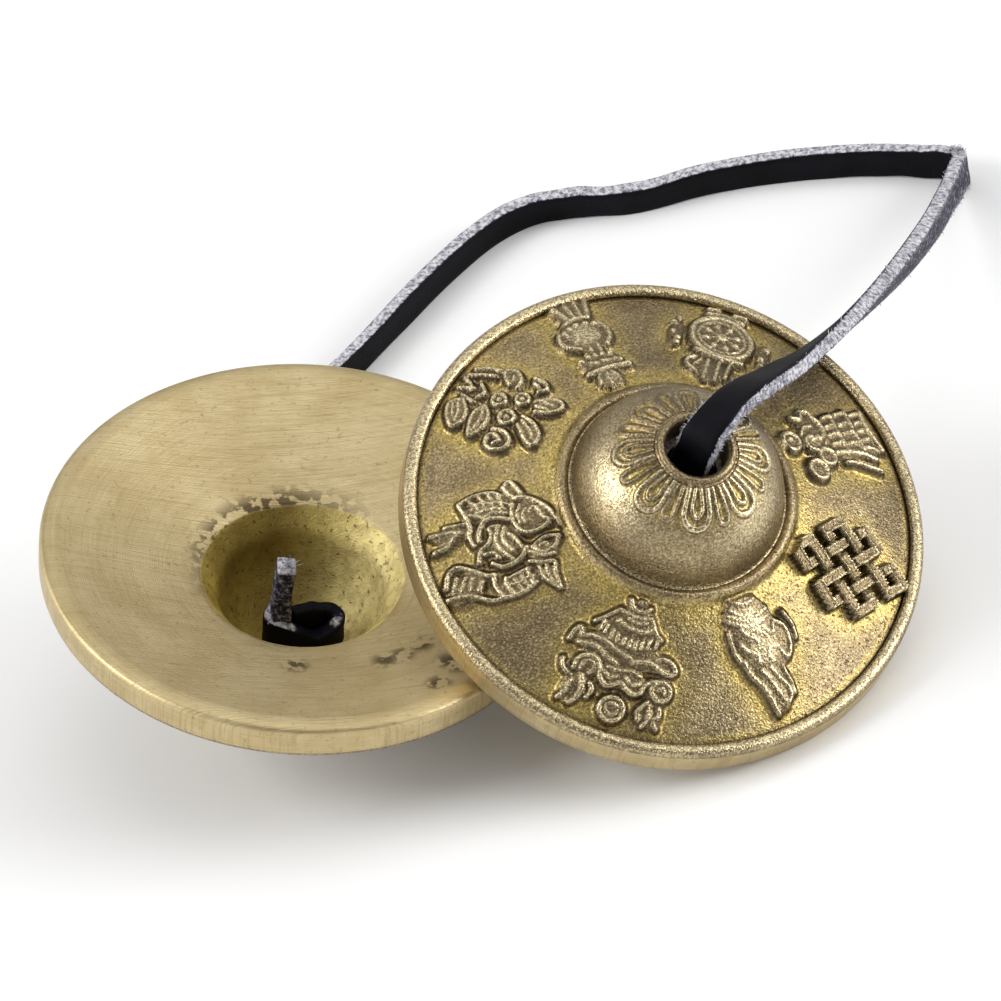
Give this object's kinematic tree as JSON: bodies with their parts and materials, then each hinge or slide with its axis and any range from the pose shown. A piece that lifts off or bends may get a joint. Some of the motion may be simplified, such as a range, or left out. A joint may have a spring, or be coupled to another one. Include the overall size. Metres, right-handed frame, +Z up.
{
  "type": "tingsha cymbals",
  "caption": "Pair of cast bell-metal hand cymbals with raised emblems and domed centres, tied to the knotted ends of one leather thong and struck rim to rim to ring.",
  "frame": {"origin": "on the table under the middle of the two cymbals' bounding box", "axes": "+Z up from the table, +X from the cymbal lying on its dome to the one lying dome up, +Y away from the viewer to the loop of the thong"},
  "size_m": [0.1267, 0.1329, 0.0425],
  "materials": {
    "bell_metal": "aged cast patina with a brushed rim",
    "leather": "matt black with grey cut edges"
  },
  "bodies": {
    "thong": {"thong_back_leg": "leather", "left_knot": "leather"},
    "front_leg": {"thong_front_leg": "leather", "right_knot": "leather"},
    "left_cymbal": {"left_cymbal": "bell_metal"},
    "right_cymbal": {"right_cymbal": "bell_metal"}
  },
  "joints": [
    {"name": "thong_fold", "type": "hinge", "parent": "thong", "child": "front_leg", "pos_m": [0.0718, 0.087, 0.0024], "axis": [0, 0, 1], "range_deg": [0, 80]},
    {"name": "left_cymbal_spin", "type": "hinge", "parent": "thong", "child": "left_cymbal", "pos_m": [-0.0212, 0.00141, 0.02318], "axis": [-0.2118, 0.1685, -0.9627], "continuous": true},
    {"name": "right_cymbal_spin", "type": "hinge", "parent": "front_leg", "child": "right_cymbal", "pos_m": [0.02159, -0.00354, 0.01775], "axis": [0.2964, -0.4707, 0.831], "continuous": true}
  ]
}
